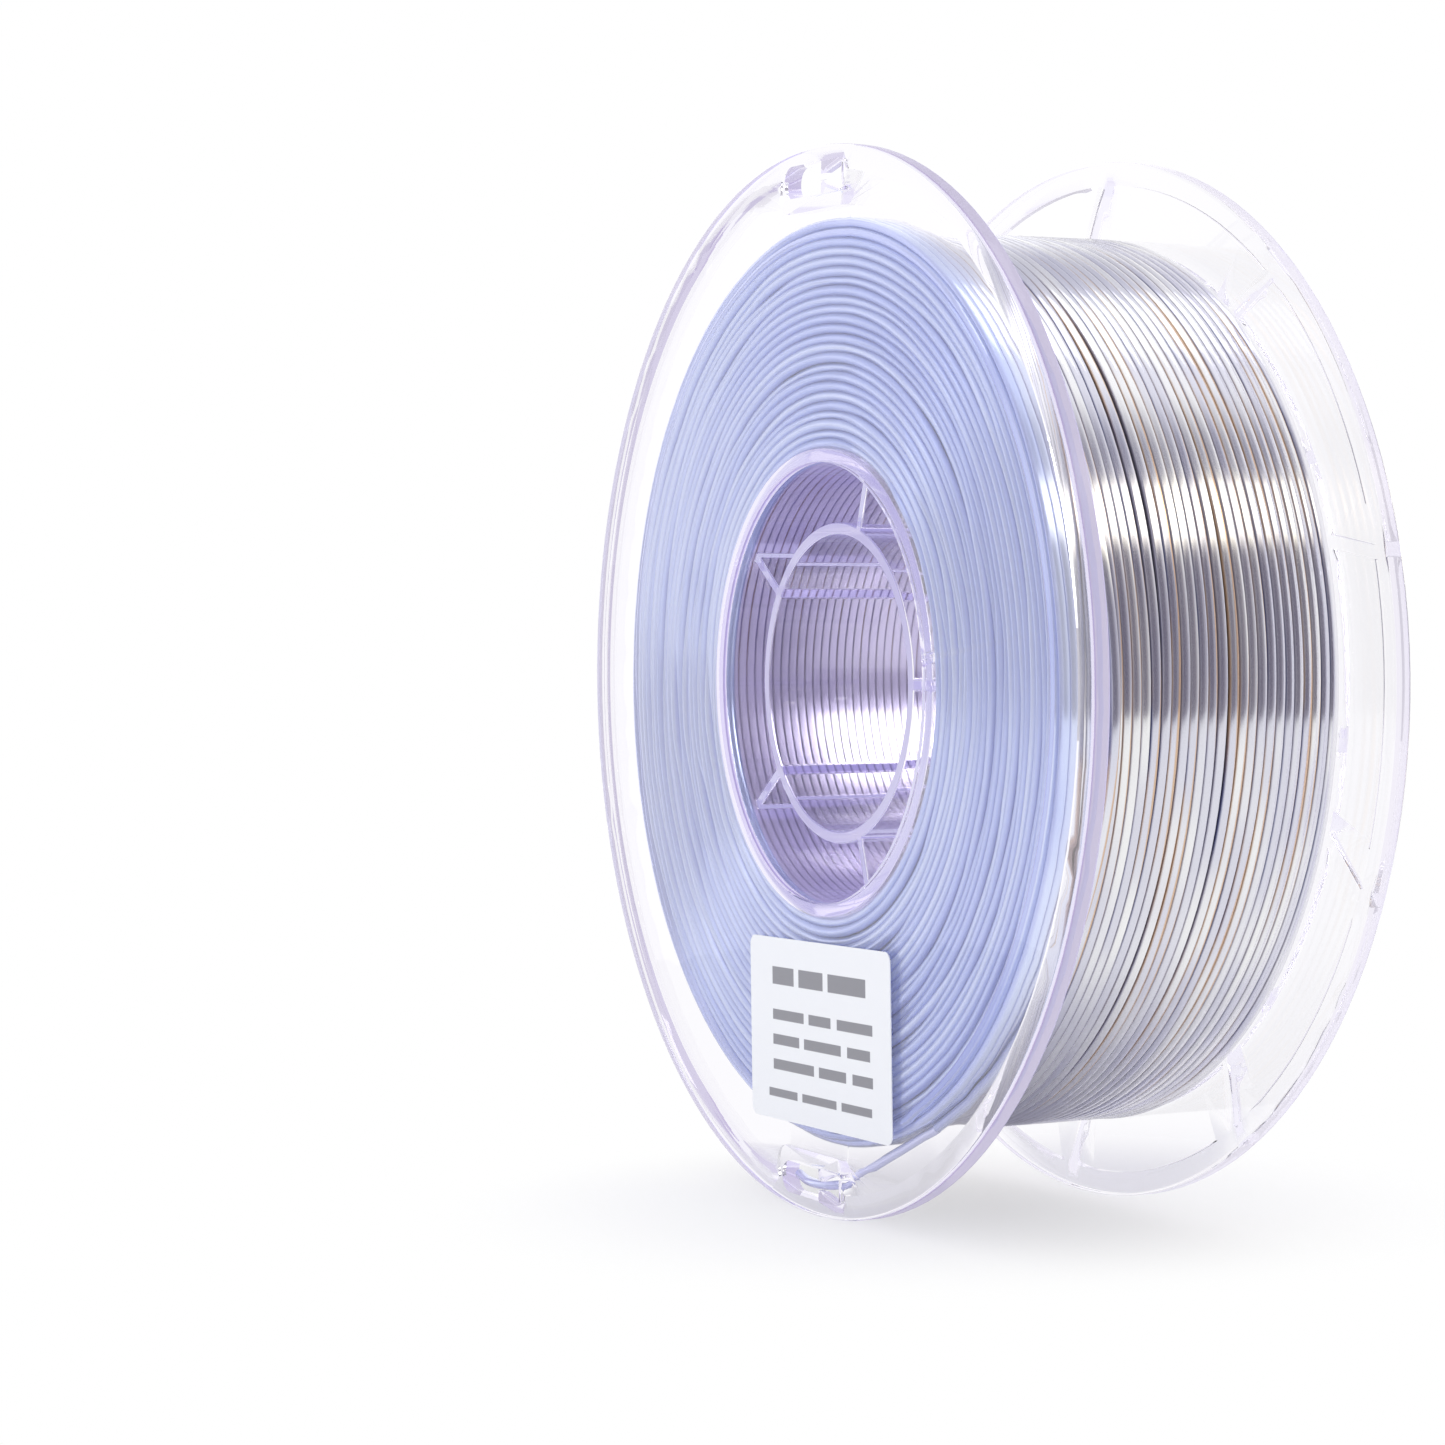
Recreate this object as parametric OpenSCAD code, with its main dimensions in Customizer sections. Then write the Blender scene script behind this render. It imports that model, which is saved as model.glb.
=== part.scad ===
// Full filament spool standing on its rims: two clear flanges on a clear hub drum,
// a bore tube carried by five webs, one winding of filament, its clipped end and a
// blank label. Millimetres. The spool's axis runs along Y, +Z is up, the front
// flange is at -Y and the origin is the middle of the bore.
// Angles round the axis count clockwise from +Z, as seen from the front.

/* [Flanges] */
// Outer diameter of both flanges
flange_d = 200; // [190:1:240]
// Overall width over both rims
overall_w = 63; // [52:0.5:80]
// Width of the thick rim along the axis
rim_w = 3.5; // [3:0.1:5]
// Height of the thick rim along the radius
rim_h = 4.5; // [4:0.1:8]
// Thickness of the thin disc inside the rim
disc_t = 2.2; // [1.6:0.1:2.6]
// Radius that rounds the rim's edges
rim_round = 0.6; // [0.2:0.1:1.2]

/* [Hub] */
// Outer diameter of the hub drum that carries the filament
drum_d = 88; // [72:1:94]
// Wall of the hub drum
drum_wall = 2.5; // [1.8:0.1:4]
// Depth of the seat in each flange that locates the drum's end
seat_depth = 0.6; // [0.3:0.1:1.2]
// Diameter of the bore that runs on a spool holder
bore_d = 56; // [48:0.5:58]
// Wall of the bore tube
bore_wall = 2.2; // [1.6:0.1:3]
// Distance from a rim's face in to the end of the bore tube
bore_recess = 5.7; // [4:0.1:12]
// Lead-in chamfer at both ends of the bore
bore_chamfer = 0.6; // [0.2:0.1:1]
// Number of webs between the bore tube and the drum
web_count = 5; // [3:1:8]
// Thickness of a web
web_t = 2; // [1.4:0.1:4]
// Angle of the web beside the key
web_angle = 91.2; // [0:0.1:120]

/* [Drum key] */
// Width of the key that stops the drum turning in its flange
key_w = 2; // [1.5:0.1:4]
// Length of the key into the drum's end
key_len = 2.1; // [1.5:0.1:4]
// Angle of the key
key_angle = 84.5; // [80:0.5:87]
// Clearance round the key in its notch
key_clear = 0.1; // [0.05:0.05:0.3]

/* [Filament clips in the front flange] */
// Angle of the upper clip
upper_clip_angle = 3; // [-10:0.5:20]
// Angle of the lower clip
lower_clip_angle = 181; // [170:0.5:190]
// Distance from the flange's edge in to the clip's middle line
clip_inset = 6; // [5.5:0.1:9]
// Length of the clip's recess
clip_l = 24; // [20:0.5:30]
// Height of the clip's recess
clip_h = 6; // [5:0.1:7]
// Length of the open window, measured from the recess's blind end
window_l = 15; // [10:0.5:16]
// Wall of the raised pad on the recess's long side
pad_wall = 2.8; // [1.6:0.1:4]
// Wall of the raised pad at the recess's two ends
pad_end_wall = 1.8; // [1:0.1:4]
// Corner radius of the raised pad
pad_round = 3; // [1:0.1:4]
// Thickness of the springy jaws
jaw_t = 1.25; // [0.8:0.05:2]
// Length of the pocket between the jaws, from its throat to its base
pocket_l = 6.3; // [4:0.1:8]
// Width of the pocket at its base
pocket_w = 4.3; // [2.5:0.1:5]
// Width of the throat between the jaws with nothing in it
throat_w = 1.2; // [0.8:0.1:1.6]

/* [Ribs on the rear flange] */
// Number of pockets in each ring of pockets
rib_count = 10; // [6:1:16]
// Width of a rib
rib_w = 2.4; // [1.5:0.1:4]
// Lean of a rib off the radius
rib_lean = 27; // [0:1:35]
// Angle of the first rib at the ring between the pockets
rib_angle = 2; // [-18:0.5:18]
// Outer radius of the ring between the two rows of pockets
ring_r = 84.2; // [76:0.1:86]
// Width of that ring
ring_w = 2.3; // [1.5:0.1:4]
// Width of the plain band round the drum's seat
hub_band = 4; // [2:0.5:8]

/* [Filament] */
// Diameter of the filament
filament_d = 1.75; // [1.6:0.05:1.9]
// Outer diameter of the last full layer
winding_d = 170; // [120:1:172]
// Turns drawn in the last full layer
turns = 24; // [12:1:24]
// Turns drawn over it, wound back from the front flange
last_turns = 4; // [2:1:4]
// Gap between a layer and a flange
turn_margin = 0.1; // [0.05:0.05:0.5]
// Room left on both sides of the filament in the lower clip
held_clear = 0.05; // [0.02:0.01:0.2]

/* [Label] */
// Width of the label
label_w = 57; // [40:1:64]
// Height of the label
label_h = 35; // [25:1:36]
// Height of the label's middle below the axis
label_drop = 66.2; // [62:0.1:68]
// Corner radius of the label
label_round = 2; // [0.5:0.1:4]
// Thickness of the label
label_t = 0.2; // [0.1:0.05:0.4]

/* [Hidden] */
$fn = 96;
clear_lilac = [0.84, 0.82, 0.92, 0.45];
winding_silver = [0.70, 0.70, 0.74];
tail_lilac = [0.66, 0.68, 0.84];
paper_white = [0.95, 0.95, 0.96];

// A cut runs this far past the face that it opens
over = 0.5;

// Radii of the discs and the hub
flange_r = flange_d / 2;
rim_inner_r = flange_r - rim_h;
drum_r = drum_d / 2;
drum_inner_r = drum_r - drum_wall;
bore_r = bore_d / 2;
tube_r = bore_r + bore_wall;
ring_inner_r = ring_r - ring_w;
hub_band_r = drum_r + hub_band;
ring_round_steps = 3;

// Distances from the middle of the spool along its axis
face_y = overall_w / 2;
inner_y = face_y - rim_w;
disc_y = inner_y + disc_t;
seat_y = inner_y + seat_depth;
tube_y = face_y - bore_recess;

// The clip's own frame has u along the flange's edge and v along the radius
clip_v = flange_r - clip_inset;
clip_end_u = clip_l / 2;
pad_u = clip_end_u + pad_end_wall;
window_u = window_l - clip_end_u;
held_throat_w = filament_d + 2 * held_clear;

// The filament's last full layer, and the turns wound back over it
core_gap = 0.1;
layer_step = filament_d + 0.1;
loop_rings = 24;
turn_sides = 6;
tail_sides = 8;
turn_r = winding_d / 2 - filament_d / 2;
turn_chord_r = turn_r * cos(180 / loop_rings);
core_r = turn_chord_r - filament_d / 2 - core_gap;
turn_y = inner_y - turn_margin - filament_d / 2;
turn_pitch = 2 * turn_y / turns;
all_turns = turns + last_turns;

// Share of a turn that stays beside the front flange before the winding turns back
turn_back = 0.2;

// Share of a turn in which the end climbs over the turns beside it and crosses them,
// and the share of that at which the crossing starts and would be over
cross_turns = 0.3;
cross_from = 0.4;
cross_to = 1.2;

// Angle and place behind the front flange's inner face at which the filament leaves
// the winding for the lower clip, and its slope towards the flange there
lift_angle = 155.5;
lift_depth = 4.2;
lift_slope = 0.11;

// The clipped end, from where it lifts off the winding to its cut end; the middle
// number is the distance behind the front flange's inner face
tail_route = [
    [29.8, 3.4, -82.9], [23.1, 2.5, -85.9], [16.4, 1.7, -89], [11.5, 1.1, -91.2],
    [8.6, 0.8, -92.4], [6.9, 0.1, -93.1], [5.3, -0.8, -93.6], [3.5, -1.6, -93.9],
    [1, -2.1, -94.1], [-2.5, -2.3, -94.2], [-6, -2, -94.1], [-9, -1.5, -93.8],
    [-11, -1.2, -93.5]
];

// Draws a plane outline, seen from the front, as a slab between two places on Y
module slab(y_low, y_high) {
    translate([0, y_high, 0])
        rotate([90, 0, 0])
            linear_extrude(y_high - y_low) children();
}

// Turns its children clockwise about the axis, as seen from the front
module at_angle(angle) {
    rotate([0, angle, 0]) children();
}

// Revolves a profile of radius and place on Y about the spool's axis
module revolve() {
    rotate([-90, 0, 0]) rotate_extrude() children();
}

// A plain ring about the axis between two radii and two places on Y
module ring(r_inner, r_outer, y_low, y_high) {
    revolve() translate([r_inner, y_low]) square([r_outer - r_inner, y_high - y_low]);
}

// A bar with rounded corners in the plane of an outline
module rounded_rect(w, h, r) {
    square([w - 2 * r, h], center = true);
    square([w, h - 2 * r], center = true);
    for (x = [-1, 1], y = [-1, 1])
        translate([x * (w / 2 - r), y * (h / 2 - r)]) circle(r);
}

// The clip's recess: a bar with two round ends
module recess_outline() {
    square([clip_l - clip_h, clip_h], center = true);
    for (side = [-1, 1])
        translate([side * (clip_l - clip_h) / 2, 0]) circle(clip_h / 2);
}

// Profile of a flange at +Y: the rounded rim, the thin disc and the drum's seat
module flange_profile() {
    corner = [for (i = [0:ring_round_steps]) i * 90 / ring_round_steps];
    polygon(concat(
        [[drum_r, inner_y], [drum_r, seat_y], [drum_inner_r, seat_y],
         [drum_inner_r, disc_y], [rim_inner_r, disc_y], [rim_inner_r, face_y]],
        [for (a = corner) [flange_r - rim_round + rim_round * sin(a),
                           face_y - rim_round + rim_round * cos(a)]],
        [for (a = corner) [flange_r - rim_round + rim_round * cos(a),
                           inner_y + rim_round - rim_round * sin(a)]]
    ));
}

// A block through the drum's wall where the key sits, past its end, with room round it
module key_block(room) {
    at_angle(key_angle)
        translate([-key_w / 2 - room, inner_y - key_len - room, drum_inner_r - over])
            cube([key_w + 2 * room, key_len + room + disc_t, drum_wall + 2 * over]);
}

// The key stands in the drum's seat and has the drum's curve
module key() {
    intersection() {
        key_block(0);
        ring(drum_inner_r, drum_r, inner_y - key_len, disc_y);
    }
}

// What both flanges share, placed at +Y
module flange_blank() {
    revolve() flange_profile();
    key();
}

// Outline of the pocket that narrows to the throat between the jaws
module pocket_outline(throat) {
    base_u = clip_end_u - (clip_h - pocket_w) / 2;
    tip_u = base_u - pocket_l;
    polygon([[base_u, -pocket_w / 2], [base_u, pocket_w / 2], [tip_u, throat / 2],
             [window_u - over, throat / 2], [window_u - over, -throat / 2],
             [tip_u, -throat / 2]]);
}

// Puts a clip's outline in its place; side -1 turns its throat the other way
module clip_frame(angle, side) {
    at_angle(angle) translate([0, 0, clip_v]) mirror([side < 0 ? 1 : 0, 0, 0]) children();
}

// Raised pad round a clip, which reaches up into the rim
module clip_pad(angle, side) {
    pad_low = clip_h / 2 + pad_wall;
    pad_high = clip_inset - rim_h + over;
    clip_frame(angle, side)
        slab(-face_y, -inner_y)
            translate([0, (pad_high - pad_low) / 2])
                rounded_rect(2 * pad_u, pad_low + pad_high, pad_round);
}

// Everything cut away for a clip: the recess behind the jaws, the window, the pocket
module clip_cuts(angle, side, throat) {
    clip_frame(angle, side) {
        slab(-face_y + jaw_t, -inner_y + over) recess_outline();
        slab(-face_y - over, -inner_y + over) intersection() {
            recess_outline();
            translate([-clip_end_u, -clip_h / 2]) square([window_l, clip_h]);
        }
        slab(-face_y - over, -inner_y) pocket_outline(throat);
    }
}

// Clear disc with a rim, the two clips and the drum's seat
module front_flange() {
    color(clear_lilac)
        difference() {
            union() {
                mirror([0, 1, 0]) flange_blank();
                clip_pad(upper_clip_angle, 1);
                clip_pad(lower_clip_angle, -1);
            }
            clip_cuts(upper_clip_angle, 1, throat_w);
            clip_cuts(lower_clip_angle, -1, held_throat_w);
        }
}

// One leaning rib between two radii; lean counts from the radius at r_low
module rib(r_low, r_high, lean) {
    reach = sqrt(r_high * r_high - pow(r_low * sin(lean), 2)) - r_low * cos(lean);
    translate([0, r_low])
        rotate(-lean)
            translate([-rib_w / 2, -rib_w])
                square([rib_w, reach + 2 * rib_w]);
}

// Ribs of one row, cut to that row's ring
module rib_row(r_low, r_high, lean, angle) {
    intersection() {
        difference() {
            circle(r_high + over);
            circle(r_low - over);
        }
        for (i = [0:rib_count - 1])
            rotate(-angle - i * 360 / rib_count) rib(r_low, r_high, lean);
    }
}

// Clear disc with a rim, a raised ring and two rows of leaning ribs outside
module rear_flange() {
    color(clear_lilac)
        union() {
            flange_blank();
            ring(ring_inner_r, ring_r, disc_y - over, face_y);
            ring(drum_inner_r, hub_band_r, disc_y - over, face_y);
            slab(disc_y - over, face_y) {
                rib_row(ring_r, rim_inner_r, rib_lean, rib_angle);
                rib_row(hub_band_r, ring_inner_r, -rib_lean, rib_angle);
            }
        }
}

// Drum that the filament is wound on, with a notch at each end for a flange's key
module hub_drum() {
    color(clear_lilac)
        difference() {
            ring(drum_inner_r, drum_r, -seat_y, seat_y);
            key_block(key_clear);
            mirror([0, 1, 0]) key_block(key_clear);
        }
}

// Tube that runs on the spool holder, with a lead-in at both ends
module bore_tube() {
    color(clear_lilac)
        revolve()
            polygon([[bore_r + bore_chamfer, -tube_y], [tube_r, -tube_y],
                     [tube_r, tube_y], [bore_r + bore_chamfer, tube_y],
                     [bore_r, tube_y - bore_chamfer], [bore_r, -tube_y + bore_chamfer]]);
}

// One web from the bore tube to the drum
module hub_web(index) {
    color(clear_lilac)
        intersection() {
            ring(tube_r, drum_inner_r, -tube_y, tube_y);
            at_angle(web_angle + (index - 1) * 360 / web_count)
                translate([-web_t / 2, -tube_y, 0])
                    cube([web_t, 2 * tube_y, drum_r]);
        }
}

// Inner layers of the winding as one plain body under the turns
module filament_core() {
    color(winding_silver) ring(drum_r, core_r, -inner_y, inner_y);
}

// Unit vector of a vector
function unit(v) = v / norm(v);

// Corners of one ring of a tube, square to the tube's run
function ring_points(centre, run, r, sides) =
    let (side = unit(cross(run, [0, 1, 0])), up = cross(side, unit(run)))
    [for (k = [0:sides - 1])
        centre + r * (cos(k * 360 / sides) * side + sin(k * 360 / sides) * up)];

// Run of a path at one of its points
function run_at(path, i) =
    unit(path[min(i + 1, len(path) - 1)] - path[max(i - 1, 0)]);

// A closed tube of triangles swept along a path
module tube(path, d, sides) {
    last = len(path) - 1;
    points = [for (i = [0:last]) each ring_points(path[i], run_at(path, i), d / 2, sides)];
    walls = [for (i = [0:last - 1], k = [0:sides - 1])
        let (a = i * sides + k, b = i * sides + (k + 1) % sides)
        each [[a, b, a + sides], [b, b + sides, a + sides]]];
    start_cap = [for (k = [1:sides - 2]) [0, k + 1, k]];
    end_cap = [for (k = [1:sides - 2]) [last * sides, last * sides + k, last * sides + k + 1]];
    polyhedron(points, concat(walls, start_cap, end_cap));
}

// A smooth step from 0 to 1
function ease(t) = let (s = max(0, min(1, t))) s * s * (3 - 2 * s);

// Place on Y after some turns, counted from the rear flange, without the crossing
function turn_place(turn) =
    turn_y - turn_pitch * (min(turn, turns) - max(0, turn - turns - turn_back));

// Height over the last full layer: the filament climbs as it closes on the turn below
function turn_rise(turn) =
    let (past = turn - turns, away = turn_place(turn) - turn_place(turn - 1))
    past <= 0 ? 0 : past >= (1 + turn_back) / 2 ? layer_step
    : sqrt(max(0, layer_step * layer_step - away * away));

// How far the end has to cross in all
cross_y = (turn_place(all_turns) - lift_depth + inner_y)
    / ease((1 - cross_from) / (cross_to - cross_from));

// A point on the winding's outside after some turns
function turn_point(turn) =
    let (angle = lift_angle + turn * 360,
         share = 1 - (all_turns - turn) / cross_turns,
         r = turn_r + turn_rise(turn) + layer_step * ease(2 * share),
         y = turn_place(turn) - cross_y * ease((share - cross_from) / (cross_to - cross_from)))
    [r * sin(angle), y, r * cos(angle)];

// Direction in which the winding starts, square to the radius, and in which it ends
start_run = [cos(lift_angle), 0, -sin(lift_angle)];
end_run = unit(start_run - [0, lift_slope, 0]);
layer_end = turn_point(all_turns) + filament_d * end_run;

// The winding's outside as one path with a straight run at both ends
turn_path = concat(
    [turn_point(0) - filament_d * start_run],
    [for (i = [0:all_turns * loop_rings]) turn_point(i / loop_rings)],
    [layer_end]
);

// Least gap between one turn and the next ones, measured on the rings' centres
turn_gap = min([for (i = [1:len(turn_path) - loop_rings - 3], k = [1:last_turns], j = [-2:2])
    let (other = i + k * loop_rings + j)
    if (other < len(turn_path)) norm(turn_path[i] - turn_path[other])]) - filament_d;
echo(least_gap_of_filament_turns_mm = turn_gap);

// Outside of the winding: the last full layer and the turns over it
module filament_turns() {
    color(winding_silver) tube(turn_path, filament_d, turn_sides);
}

// Free end of the filament, which runs through the lower clip
module filament_tail() {
    start = [layer_end, layer_end + filament_d * end_run];
    route = [for (p = tail_route) [p[0], p[1] - inner_y, p[2]]];
    color(tail_lilac) tube(concat(start, route), filament_d, tail_sides);
}

// Blank sticker on the front disc
module label() {
    color(paper_white)
        slab(-disc_y - label_t, -disc_y)
            translate([0, -label_drop])
                rounded_rect(label_w, label_h, label_round);
}

front_flange();
rear_flange();
hub_drum();
bore_tube();
hub_web(1);  // hub_web_1
hub_web(2);  // hub_web_2
hub_web(3);  // hub_web_3
hub_web(4);  // hub_web_4
hub_web(5);  // hub_web_5
filament_core();
filament_turns();
filament_tail();
label();
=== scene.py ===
from math import atan2, cos, degrees, pi, radians, sin
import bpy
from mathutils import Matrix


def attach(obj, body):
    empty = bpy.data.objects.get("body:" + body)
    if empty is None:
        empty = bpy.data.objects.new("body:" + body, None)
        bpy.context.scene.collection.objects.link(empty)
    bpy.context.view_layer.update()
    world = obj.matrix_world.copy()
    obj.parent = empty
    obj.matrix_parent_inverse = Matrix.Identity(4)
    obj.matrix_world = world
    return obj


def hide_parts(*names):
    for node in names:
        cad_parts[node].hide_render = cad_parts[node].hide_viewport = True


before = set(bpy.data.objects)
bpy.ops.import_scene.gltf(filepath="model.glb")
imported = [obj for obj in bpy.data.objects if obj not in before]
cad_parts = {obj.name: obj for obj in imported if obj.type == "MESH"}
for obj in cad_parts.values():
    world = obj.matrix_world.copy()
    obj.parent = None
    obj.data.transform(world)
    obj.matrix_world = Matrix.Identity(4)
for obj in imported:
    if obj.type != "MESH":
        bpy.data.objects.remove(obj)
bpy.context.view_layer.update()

from types import SimpleNamespace
from typing import NamedTuple

import bmesh
import bpy
from mathutils import Matrix, Vector

MM = 0.001

# ---------------------------------------------------------------------------
# Sizes, in millimetres, as the part's source has them. The spool's axis runs
# along Y and angles count clockwise from +Z, as seen from the front.
# ---------------------------------------------------------------------------

OVERALL_W = 63.0
RIM_W = 3.5
RIM_H = 4.5
FLANGE_R = 100.0
RIM_STEP_R = FLANGE_R - RIM_H
FACE_Y = OVERALL_W / 2
INNER_Y = FACE_Y - RIM_W

DRUM_R = 44.0
DRUM_WALL = 2.5
DRUM_INNER_R = DRUM_R - DRUM_WALL
DRUM_SEAT = 0.6
DRUM_END_Y = INNER_Y + DRUM_SEAT
BORE_R = 28.0
TUBE_WALL = 2.2
TUBE_R = BORE_R + TUBE_WALL
TUBE_SET_BACK = 5.7
TUBE_Y = FACE_Y - TUBE_SET_BACK
WEB_T = 2.0
WEB_COUNT = 5
WEB_ANGLE = 91.2

FILAMENT_D = 1.75
FILAMENT_R = FILAMENT_D / 2
FILAMENT_ROOM = 0.1
WINDING_R = 85.0
LAYER_STEP = FILAMENT_D + FILAMENT_ROOM
OUTER_TURN_R = WINDING_R - FILAMENT_R
TURN_Y = INNER_Y - FILAMENT_ROOM - FILAMENT_R
LIFT_ANGLE = 155.5
LIFT_DEPTH = 4.2
LIFT_SLOPE = 0.11

# Turns that lie pressed together show a wider and flatter round than the free filament
PRESSED_R = 1.0
PRESSED_ROOM = 0.05


def on_circle(radius, angle, y=0.0):
    """A point in metres at a radius and a clockwise angle in degrees."""
    turn = radians(angle)
    return Vector((radius * sin(turn), y, radius * cos(turn))) * MM


# ---------------------------------------------------------------------------
# Node graphs, written as expressions
# ---------------------------------------------------------------------------


class Wire:
    """An output socket that Python's operators turn into Math nodes."""

    def __init__(self, graph, socket):
        self.graph = graph
        self.socket = socket

    def __add__(self, other):
        return self.graph.maths("ADD", self, other)

    def __radd__(self, other):
        return self.graph.maths("ADD", other, self)

    def __sub__(self, other):
        return self.graph.maths("SUBTRACT", self, other)

    def __rsub__(self, other):
        return self.graph.maths("SUBTRACT", other, self)

    def __mul__(self, other):
        return self.graph.maths("MULTIPLY", self, other)

    def __rmul__(self, other):
        return self.graph.maths("MULTIPLY", other, self)

    def __truediv__(self, other):
        return self.graph.maths("DIVIDE", self, other)

    def __rtruediv__(self, other):
        return self.graph.maths("DIVIDE", other, self)


class Graph:
    """Adds nodes to a shader or geometry tree."""

    def __init__(self, tree):
        self.tree = tree

    def node(self, kind, settings=None, inputs=None):
        made = self.tree.nodes.new(kind)
        for name, value in (settings or {}).items():
            setattr(made, name, value)
        for name, value in (inputs or {}).items():
            self.feed(made.inputs[name], value)
        return made

    def feed(self, socket, value):
        if isinstance(value, Wire):
            self.tree.links.new(value.socket, socket)
        else:
            socket.default_value = value

    def wire(self, kind, settings=None, inputs=None, output=0):
        return Wire(self, self.node(kind, settings, inputs).outputs[output])

    def maths(self, operation, *values):
        inputs = dict(enumerate(values))
        return self.wire("ShaderNodeMath", {"operation": operation}, inputs)

    def vector_maths(self, operation, *values, output=0):
        inputs = dict(enumerate(values))
        return self.wire("ShaderNodeVectorMath", {"operation": operation}, inputs, output)

    def vector(self, x, y, z):
        return self.wire("ShaderNodeCombineXYZ", None, {"X": x, "Y": y, "Z": z})

    def split(self, vector):
        parts = self.node("ShaderNodeSeparateXYZ", None, {"Vector": vector})
        return [Wire(self, output) for output in parts.outputs]

    def ramp(self, value, low, high):
        """0 at low, 1 at high and smooth between them, whichever of the two is greater."""
        settings = {"interpolation_type": "SMOOTHSTEP"}
        inputs = {"Value": value, "From Min": low, "From Max": high}
        return self.wire("ShaderNodeMapRange", settings, inputs)

    def band(self, value, begins, is_full, starts_to_end, ends):
        """1 between the middle two values and 0 outside the outer two."""
        return self.ramp(value, begins, is_full) * self.ramp(value, ends, starts_to_end)

    def noise(self, vector, scale, detail=2.0, w=None):
        inputs = {"Vector": vector, "Scale": scale, "Detail": detail}
        if w is None:
            return self.wire("ShaderNodeTexNoise", {"noise_dimensions": "3D"}, inputs)
        return self.wire("ShaderNodeTexNoise", {"noise_dimensions": "4D"}, {**inputs, "W": w})

    def blend(self, factor, first, second):
        """A colour between two colours."""
        made = self.node("ShaderNodeMix", {"data_type": "RGBA"})
        self.feed(made.inputs[0], factor)
        self.feed(made.inputs[6], first)
        self.feed(made.inputs[7], second)
        return Wire(self, made.outputs[2])

    def either(self, factor, first, second):
        """A shader between two shaders."""
        return self.wire("ShaderNodeMixShader", None, {0: factor, 1: first, 2: second})

    def glow(self, tint):
        return self.wire("ShaderNodeEmission", None, {"Color": tint, "Strength": 1.0})

    def diffuse(self, tint):
        return self.wire("ShaderNodeBsdfDiffuse", None, {"Color": tint})

    def principled(self, inputs):
        return self.wire("ShaderNodeBsdfPrincipled", None, inputs)

    def ray(self, question):
        """What the Light Path node says of the ray, such as Is Camera Ray."""
        return self.wire("ShaderNodeLightPath", output=question)

    def normal(self):
        return self.wire("ShaderNodeNewGeometry", output="Normal")

    def object_point(self):
        return self.wire("ShaderNodeTexCoord", output="Object")

    def spool_place(self):
        """x, y, z and the distance from the spool's axis, in millimetres."""
        x, y, z = (part / MM for part in self.split(self.object_point()))
        return x, y, z, self.maths("SQRT", x * x + z * z)

    def attribute(self, name, kind="FLOAT"):
        """A named attribute, read in a geometry tree."""
        return self.wire("GeometryNodeInputNamedAttribute", {"data_type": kind}, {"Name": name})

    def store(self, geometry, name, value, kind="FLOAT", domain="POINT"):
        """Geometry with a named attribute added."""
        settings = {"data_type": kind, "domain": domain}
        inputs = {"Geometry": geometry, "Name": name, "Value": value}
        return self.wire("GeometryNodeStoreNamedAttribute", settings, inputs)


def colour(red, green, blue):
    """A colour given as it shows on a screen, from 0 to 255, in linear light."""
    linear = []
    for part in (red, green, blue):
        share = part / 255
        linear.append(share / 12.92 if share <= 0.04045 else ((share + 0.055) / 1.055) ** 2.4)
    return (*linear, 1.0)


def new_material(name):
    """An empty material and the graph of its tree."""
    made = bpy.data.materials.new(name)
    made.use_nodes = True
    made.node_tree.nodes.clear()
    return made, Graph(made.node_tree)


def finish_material(graph, surface, **volume):
    graph.node("ShaderNodeOutputMaterial", None, {"Surface": surface, **volume})


# ---------------------------------------------------------------------------
# Camera, floor and light
# ---------------------------------------------------------------------------

CAMERA_AT = Vector((551.74, -313.91, -2.27)) * MM
CAMERA_AZIMUTH = 64.392
CAMERA_ELEVATION = 0.445
CAMERA_ROLL = -0.784
SENSOR_W = 36.0
FRAME_PIXELS = 1445
FOCAL_PIXELS = 3304.4


def add_camera():
    angles = (CAMERA_AZIMUTH, CAMERA_ELEVATION, CAMERA_ROLL)
    azimuth, elevation, roll = (radians(angle) for angle in angles)
    flat = cos(elevation)
    back = Vector((sin(azimuth) * flat, -cos(azimuth) * flat, sin(elevation)))
    level = (-back).cross(Vector((0, 0, 1))).normalized()
    upright = level.cross(-back)
    right = level * cos(roll) + upright * sin(roll)
    up = upright * cos(roll) - level * sin(roll)
    data = bpy.data.cameras.new("camera")
    data.sensor_width = SENSOR_W
    data.lens = FOCAL_PIXELS / FRAME_PIXELS * SENSOR_W
    camera = bpy.data.objects.new("camera", data)
    turn = Matrix((right, up, back)).transposed().to_4x4()
    camera.matrix_world = Matrix.Translation(CAMERA_AT) @ turn
    bpy.context.scene.collection.objects.link(camera)
    bpy.context.scene.camera = camera


WHITE = (1, 1, 1, 1)
FLOOR_REACH = 0.66
FLOOR_PAINT = colour(250, 250, 252)
FLOOR_MIRRORED = colour(216, 216, 227)

# Distances from the middle of the spool, in metres, between which the floor fades to white, and
# how white it is before that
FLOOR_FADE = (0.106, 0.145)
FLOOR_WHITENESS = 0.5


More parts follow.
